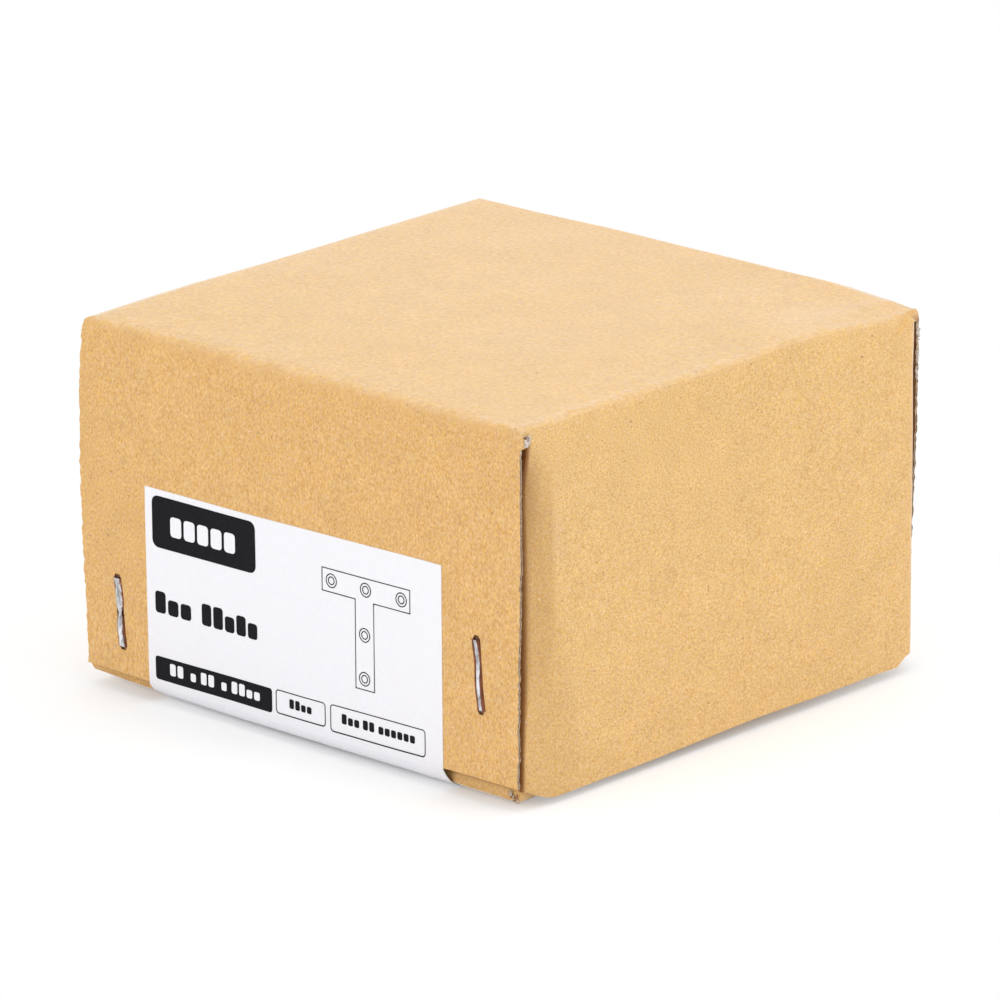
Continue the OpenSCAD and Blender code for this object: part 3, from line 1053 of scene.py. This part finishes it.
def bendWire(spot, sideY):
    # a flat wire swept from one clinched end round to the other, then pinched and twisted along its crown
    x, z = spot["x"], spot["z"]
    half, turn = staple["long"] / 2, staple["bend"]
    face = -lid["deep"] / 2
    outside = face + staple["sink"] - staple["thick"]
    inside = face + 2 * board["thick"] + board["leafGap"] - staple["clinch"]
    reach = staple["thick"] + turn
    through = inside - outside - staple["thick"] - 2 * turn
    start = (x, inside + staple["thick"] / 2, z - half + staple["tail"])
    deselect()
    bpy.ops.mesh.primitive_plane_add(size=1, location=start)
    wire = bpy.context.active_object
    wire.name = "lidStaple"
    bpy.ops.transform.resize(value=(staple["wide"], staple["thick"], 1))
    applyPlace()
    startEdit(wire)
    pick("VERT", lambda v: True)
    bpy.ops.mesh.bevel(offset=staple["round"], segments=4, affect="VERTICES")
    selectAll()

    def run(dy, dz, count=1):
        for _ in range(count):
            push(0, dy / count, dz / count)

    def corner(y, height):
        bpy.ops.mesh.spin(steps=4, angle=-math.pi / 2, axis=(1, 0, 0), center=(x, y, height))

    run(0, -(staple["tail"] - reach))
    corner(inside - turn, z - half + reach)
    run(-through, 0)
    corner(outside + reach, z - half + reach)
    run(0, staple["long"] - 2 * reach, staple["crownSteps"])
    corner(outside + reach, z + half - reach)
    run(through, 0)
    corner(inside - turn, z + half - reach)
    run(0, -(staple["tail"] - reach))
    mergeAll(tiny)
    endEdit()
    middleY = outside + staple["thick"] / 2
    mark = wire.data.attributes.new("across", "FLOAT", "POINT")
    for point, spotMark in zip(wire.data.vertices, mark.data):
        place = point.co
        spotMark.value = spot["rustAndReflection"] * (place.x - x) * 2 / staple["wide"]
        along = (place.z - z) / half
        place.x += -spot["lean"] * along / 2
        if place.y > outside + reach:
            continue
        centre = x - spot["lean"] * along / 2
        close = 1 - ramp(abs(along - spot["knot"]), 0.0, spot["reach"])
        turned = math.radians(spot["twist"]) * close
        across, deep = place.x - centre, place.y - middleY
        across *= 1 - spot["pinch"] * close
        place.x = centre + across * math.cos(turned) - deep * math.sin(turned)
        place.x += staple["wave"] * math.sin(5 * along)
        place.y = middleY + across * math.sin(turned) + deep * math.cos(turned)
    if sideY > 0:
        wire.data.transform(Matrix.Rotation(math.pi, 4, "Z"))
    centre = Vector((-x * sideY, sideY * lid["deep"] / 2, z))
    wire.data.transform(Matrix.Translation(lidShift(centre)))
    wire.data.materials.append(stapleWire)
    return wire


wires = [bendWire(spot, sideY) for sideY in (-1, 1) for spot in staple["spots"]]
lidStaples = joinPieces("lidStaples", wires)
smooth(lidStaples, 40)
print("staples bent:", len(lidStaples.data.polygons), "faces")


# label

label = {
    "thick": 0.12 * mm,
    "under": 14.0 * mm,
    "grid": 2.0 * mm,
    "turn": 0.53,            # degrees, right side higher
    "raised": 0.35 * mm,
    "leftLift": 0.35 * mm,   # of the lower curve, at its left end
    # the curve over the seam: its handles, each as far behind the front and as high, and its end
    "handles": [(0.6 * mm, 2.2 * mm), (1.6 * mm, 0.4 * mm)],
    "curveDeep": 4.8 * mm,
    "wrapSteps": 14,
    "inkGap": 0.02 * mm,
}
frontY = -lid["deep"] / 2
inkY = frontY - label["thick"] - label["inkGap"]


def labelShift(place):
    # turned a little on the lid and carried by it above the seam
    angle = math.radians(label["turn"])
    middleX, middleZ = (labelLow.x + labelHigh.x) / 2, labelHigh.z / 2
    upper = ramp(place.z, 0.3 * mm, lid["frontEdge"] - 0.2 * mm)
    onFace = ramp(place.z, lid["frontEdge"], lid["frontEdge"] + 2.5 * mm)
    turn = Vector((-angle * (place.z - middleZ), 0, 0))
    turn.z = (angle * (place.x - middleX) + label["raised"]) * onFace
    # its lower curve is a little higher at the left end
    curve = ramp(frontY + 3.3 * mm - place.y, 0, 1.2 * mm) * (1 - upper)
    turn.z += label["leftLift"] * ramp(-place.x, 12 * mm, 31 * mm) * curve
    onLid = Vector((place.x, min(place.y, frontY), max(place.z, lid["frontEdge"])))
    return turn + lidShift(onLid) * upper


def wrapLabel():
    # one sheet from the lid's front, curving over the seam and under the base
    start = lid["frontEdge"] - 0.15 * mm
    piece = addUprightSheet("labelSheet", labelLow.x, labelHigh.x, frontY, start, labelHigh.z)
    hold = [(0, start), *label["handles"], (label["curveDeep"], label["thick"])]
    hold = [(frontY + behind, height) for behind, height in hold]
    startEdit(piece)
    pick("EDGE", lambda e: middle(e).z < start + tiny)
    last = hold[0]
    for step in range(1, label["wrapSteps"] + 1):
        t = step / label["wrapSteps"]
        parts = ((1 - t) ** 3, 3 * t * (1 - t) ** 2, 3 * t * t * (1 - t), t ** 3)
        spot = [sum(part * point[i] for part, point in zip(parts, hold)) for i in (0, 1)]
        push(0, spot[0] - last[0], spot[1] - last[1])
        last = spot
    push(0, label["under"], 0)
    selectAll()
    bpy.ops.mesh.normals_make_consistent(inside=False)
    sliceAlong(0, evenPlaces(labelLow.x, labelHigh.x, label["grid"]))
    sliceAlong(2, evenPlaces(start, labelHigh.z, label["grid"]))
    endEdit()
    faceFront = min(piece.data.polygons, key=lambda f: f.center.y)
    if faceFront.normal.y > 0:
        piece.data.flip_normals()
    return piece


labelSheet = wrapLabel()
labelSheet.data.materials.append(labelPaper)
giveThickness(labelSheet, label["thick"], 1)
warp(labelSheet, labelShift)
smooth(labelSheet, 40)
print("label wrapped:", len(labelSheet.data.polygons), "faces")


# print on the label, plain fields, bars and a line drawing, in mm on the lid's front

printed = {
    # left, right, lower and upper edge, radius of the corners
    "badge": (-30.5, -8.6, 25.7, 34.0, 1.2),
    "strip": (-30.5, -5.6, 4.3, 8.0, 0.5),
    "boxes": [(-4.8, 5.8, 4.5, 8.2, 0.6), (6.8, 26.5, 4.2, 8.3, 0.6)],
    "line": 0.16,
    "tee": {"armX": (5.3, 23.7), "armZ": (26.05, 29.85), "legX": (12.2, 16.2), "legEnd": 11.95,
            "line": 0.15},
    "holes": [(7.3, 27.95), (14.45, 27.95), (21.85, 27.95), (14.2, 20.75), (14.1, 13.75)],
    "holeRings": [(1.15, 0.16), (0.68, 0.16)],     # radius and line
    # rows of bars: left end, foot, the bars' heights, their width and the gap between them
    "darkRows": [
        (-30.2, 15.1, (3.5, 2.5, 2.5), 2.2, 0.5),
        (-20.3, 15.1, (3.5, 3.5, 2.5, 3.2, 2.5), 2.0, 0.45),
        (-1.9, 5.7, (1.5, 1.5, 1.1, 1.1), 0.95, 0.3),
        (9.2, 5.6, (1.6, 1.2, 1.2), 1.0, 0.3),
        (13.6, 5.6, (1.5, 1.5), 1.0, 0.3),
        (16.8, 5.6, (1.2, 1.2, 1.2, 1.2, 1.2, 1.2), 1.0, 0.3),
    ],
    "paleRows": [
        (-26.6, 28.0, (3.2, 3.2, 3.2, 3.2, 3.2), 2.3, 0.55),
        (-27.4, 5.4, (1.9, 1.9), 1.2, 0.4),
        (-23.0, 5.4, (1.3,), 1.1, 0.4),
        (-20.8, 5.4, (1.9, 1.9), 1.2, 0.4),
        (-16.4, 5.4, (1.3,), 1.1, 0.4),
        (-14.2, 5.4, (1.9, 1.9, 1.3, 1.3), 1.2, 0.4),
    ],
    "barRound": 0.25,                              # share of a bar's shorter side
    "darkRaised": 0.02,
    "paleRaised": 0.05,
}


def keepOutline(line):
    selectAll()
    bpy.ops.mesh.inset(thickness=line * mm, depth=0)
    bpy.ops.mesh.delete(type="FACE")


def inkField(x0, x1, z0, z1, radius, hollow=0.0):
    # a field with rounded corners, or only its outline
    piece = addUprightSheet("ink", x0 * mm, x1 * mm, inkY, z0 * mm, z1 * mm)
    startEdit(piece)
    pick("VERT", lambda v: True)
    bpy.ops.mesh.bevel(offset=radius * mm, segments=4, affect="VERTICES")
    if hollow:
        keepOutline(hollow)
    sliceAlong(0, evenPlaces(x0 * mm, x1 * mm, label["grid"]))
    endEdit()
    return piece


def inkRing(x, z, radius, line):
    deselect()
    bpy.ops.mesh.primitive_circle_add(vertices=32, radius=radius * mm, fill_type="NGON",
                                      rotation=(math.pi / 2, 0, 0), location=(x * mm, inkY, z * mm))
    piece = bpy.context.active_object
    applyPlace()
    startEdit(piece)
    keepOutline(line)
    endEdit()
    return piece


def inkTee(tee):
    # outline of a flat tee: a cross arm, a leg extruded from it, and the inside taken out
    armLeft, armRight = (x * mm for x in tee["armX"])
    armLow, armHigh = (z * mm for z in tee["armZ"])
    legLeft, legRight = (x * mm for x in tee["legX"])
    piece = addUprightSheet("ink", armLeft, armRight, inkY, armLow, armHigh)
    startEdit(piece)
    sliceAlong(0, (legLeft, legRight))
    pick("EDGE", lambda e: middle(e).z < armLow + tiny and legLeft < middle(e).x < legRight)
    push(0, 0, tee["legEnd"] * mm - armLow)
    keepOutline(tee["line"])
    endEdit()
    return piece


def inkRow(x, z, heights, wide, gap):
    bars = []
    for high in heights:
        bars.append(inkField(x, x + wide, z, z + high, printed["barRound"] * min(wide, high)))
        x += wide + gap
    return bars


def finishInk(name, pieces, material, raised):
    piece = joinPieces(name, pieces)
    giveThickness(piece, raised * mm, 1)
    warp(piece, labelShift)
    piece.data.materials.append(material)
    return piece


dark = [inkField(*printed["badge"]), inkField(*printed["strip"])]
dark += [inkField(*box, hollow=printed["line"]) for box in printed["boxes"]]
dark.append(inkTee(printed["tee"]))
for x, z in printed["holes"]:
    dark += [inkRing(x, z, radius, line) for radius, line in printed["holeRings"]]
for row in printed["darkRows"]:
    dark += inkRow(*row)
labelPrint = finishInk("labelPrint", dark, blackInk, printed["darkRaised"])
pale = []
for row in printed["paleRows"]:
    pale += inkRow(*row)
labelMarks = finishInk("labelMarks", pale, whiteInk, printed["paleRaised"])
print("label printed:", len(labelPrint.data.polygons) + len(labelMarks.data.polygons), "faces")

# carried-over node
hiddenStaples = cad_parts["base_staples"]
hiddenStaples.data.materials.clear()
hiddenStaples.data.materials.append(stapleWire)

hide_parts("lid_tray")
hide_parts("base_tray")
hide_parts("lid_staples")
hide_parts("label")
slotPieces = {
    "kraft_board": (lidTray, baseTray, lidFlutes, baseFlutes, tornShreds),
    "staple_wire": (lidStaples,),
    "label_paper": (labelSheet, labelPrint, labelMarks),
}
for slotName, pieces in slotPieces.items():
    for piece in pieces:
        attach(piece, "root")


# stage, lights and camera

stage = {
    "floorSize": 6.0,
    "floorTone": (0.96, 0.96, 0.96),
    "whiteFrom": 0.035,    # distance from the middle where the floor starts to fade to plain white
    "whiteTo": 0.1,
    "floorDrop": 0.1 * mm,
    "worldLight": 0.82,
    "lampTarget": (0, 0, 0.03),
    # name, place, size, watts
    "lamps": [
        ("topSoftbox", (0.1, 0.1, 0.9), 0.9, 3.1),
        ("frontSoftbox", (-0.25, -1.0, 0.5), 0.7, 2.7),
        ("rightSoftbox", (0.95, 0.45, 0.5), 0.7, 3.25),
    ],
}


def isSeenRay(tree):
    # 1 for camera, mirror-like and see-through rays
    path = addNode(tree, "ShaderNodeLightPath")
    seen = mathNode(tree, "MAXIMUM", path.outputs["Is Camera Ray"], path.outputs["Is Glossy Ray"])
    return mathNode(tree, "MAXIMUM", seen, path.outputs["Is Transmission Ray"])


def makeFloor():
    deselect()
    bpy.ops.mesh.primitive_plane_add(size=stage["floorSize"], location=(0, 0, -stage["floorDrop"]))
    floor = bpy.context.active_object
    floor.name = "floor"
    material, tree, shader = newMaterial("paleFloor", 0.9, specular=0.1)
    shader.inputs["Base Color"].default_value = (*stage["floorTone"], 1)
    coords = addNode(tree, "ShaderNodeTexCoord")
    distance = addNode(tree, "ShaderNodeVectorMath", operation="LENGTH")
    tree.links.new(coords.outputs["Object"], distance.inputs[0])
    fade = addRange(tree, distance.outputs["Value"], stage["whiteFrom"], stage["whiteTo"], 0, 1)
    white = addNode(tree, "ShaderNodeEmission")
    mix = addNode(tree, "ShaderNodeMixShader")
    tree.links.new(mathNode(tree, "MULTIPLY", fade, isSeenRay(tree)), mix.inputs["Fac"])
    tree.links.new(shader.outputs["BSDF"], mix.inputs[1])
    tree.links.new(white.outputs["Emission"], mix.inputs[2])
    tree.links.new(mix.outputs["Shader"], tree.nodes["Material Output"].inputs["Surface"])
    floor.data.materials.append(material)


def makeWorld():
    world = bpy.data.worlds.new("studio")
    world.use_nodes = True
    tree = world.node_tree
    background = tree.nodes["Background"]
    background.inputs["Color"].default_value = (1, 1, 1, 1)
    strength = addRange(tree, isSeenRay(tree), 0, 1, stage["worldLight"], 1.0)
    tree.links.new(strength, background.inputs["Strength"])
    scene.world = world


def addLamp(name, place, size, watts):
    data = bpy.data.lights.new(name, "AREA")
    data.shape = "SQUARE"
    data.size = size
    data.energy = watts
    lamp = bpy.data.objects.new(name, data)
    lamp.location = place
    aim = Vector(stage["lampTarget"]) - Vector(place)
    lamp.rotation_euler = aim.to_track_quat("-Z", "Y").to_euler()
    scene.collection.objects.link(lamp)


camera = {
    "azimuth": 42.72,
    "elevation": 17.81,
    "roll": -0.28,
    "away": 1432.4 * mm,
    "target": (0.0, -1.16 * mm, 28.65 * mm),
    "lens": 333.8,
    "sensor": 36.0,
    "clip": (0.05, 20),
}


def makeCamera():
    data = bpy.data.cameras.new("photoCamera")
    data.lens = camera["lens"]
    data.sensor_width = camera["sensor"]
    data.clip_start, data.clip_end = camera["clip"]
    azimuth, elevation, roll = (math.radians(camera[key]) for key in ("azimuth", "elevation", "roll"))
    back = Vector((math.sin(azimuth) * math.cos(elevation), -math.cos(azimuth) * math.cos(elevation),
                   math.sin(elevation)))
    right = Vector((math.cos(azimuth), math.sin(azimuth), 0))
    up = back.cross(right)
    turnedRight = right * math.cos(roll) + up * math.sin(roll)
    turnedUp = up * math.cos(roll) - right * math.sin(roll)
    turn = Matrix((turnedRight, turnedUp, back)).transposed().to_4x4()
    cam = bpy.data.objects.new("photoCamera", data)
    cam.matrix_world = Matrix.Translation(Vector(camera["target"]) + back * camera["away"]) @ turn
    scene.collection.objects.link(cam)
    scene.camera = cam


makeFloor()
makeWorld()
for lamp in stage["lamps"]:
    addLamp(*lamp)
makeCamera()

print("scene ready")
